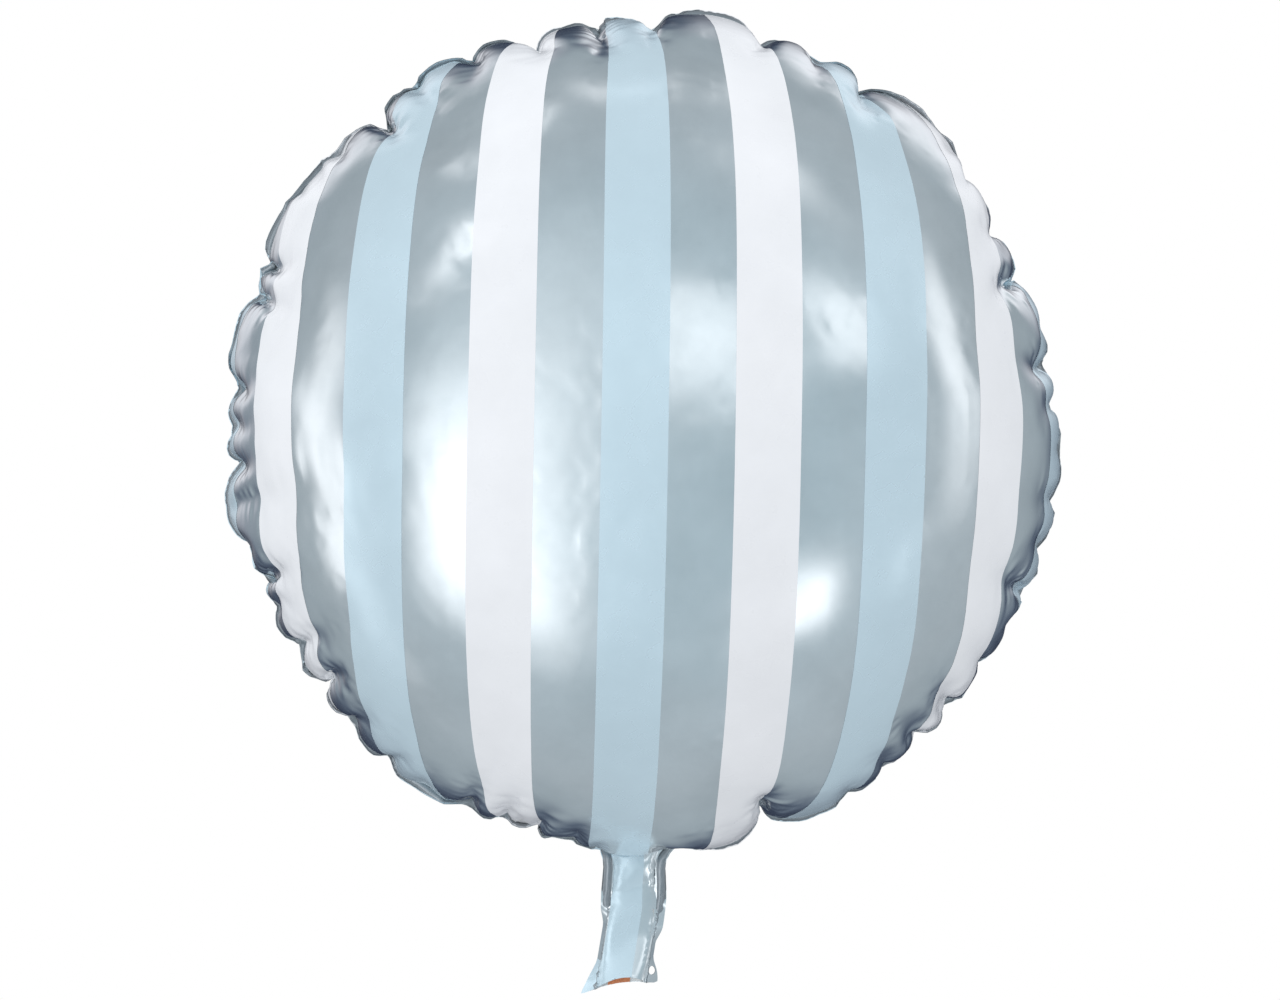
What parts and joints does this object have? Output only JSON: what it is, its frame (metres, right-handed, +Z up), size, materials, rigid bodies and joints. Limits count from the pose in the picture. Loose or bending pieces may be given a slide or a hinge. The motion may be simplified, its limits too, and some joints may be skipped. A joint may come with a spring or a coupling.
{
  "type": "foil balloon",
  "caption": "Round foil balloon, inflated: heat-sealed film discs printed with vertical stripes, puckered rim, flat filling tail with a one-way valve and a hanging hole.",
  "frame": {"origin": "middle of the neck on the tail's fold line, where a ribbon is tied", "axes": "+Z up from the neck through the balloon's centre, -Y towards the front face, +X to the viewer's right"},
  "size_m": [0.3504, 0.2068, 0.406],
  "materials": {
    "silver_film": "metallised film, satin mirror",
    "white_ink": "gloss print",
    "blue_ink": "gloss print, pale blue",
    "valve_film": "translucent clear film",
    "orange_ink": "matt print",
    "weld": "fused film"
  },
  "bodies": {
    "envelope": {"front_film": "silver_film", "back_film": "silver_film", "neck_front_film": "silver_film", "neck_back_film": "silver_film", "front_white_stripes": "white_ink", "back_white_stripes": "white_ink", "front_blue_stripes": "blue_ink", "back_blue_stripes": "blue_ink", "edge_weld": "weld", "valve_front_ply": "valve_film", "valve_back_ply": "valve_film", "valve_side_welds": "weld", "valve_anchor_welds": "weld"},
    "tail": {"tail_front_film": "silver_film", "tail_front_hole_margin": "silver_film", "tail_back_film": "silver_film", "tail_back_hole_margin": "silver_film", "tail_front_blue_print": "blue_ink", "tail_back_blue_print": "blue_ink", "tail_side_welds": "weld", "valve_mouth_front_ply": "valve_film", "valve_mouth_back_ply": "valve_film", "valve_mouth_side_welds": "weld", "valve_release_print": "orange_ink"}
  },
  "joints": [
    {"name": "tail_fold", "type": "hinge", "parent": "envelope", "child": "tail", "pos_m": [0, 0, 0], "axis": [1, 0, 0], "range_deg": [-110, 110]}
  ]
}
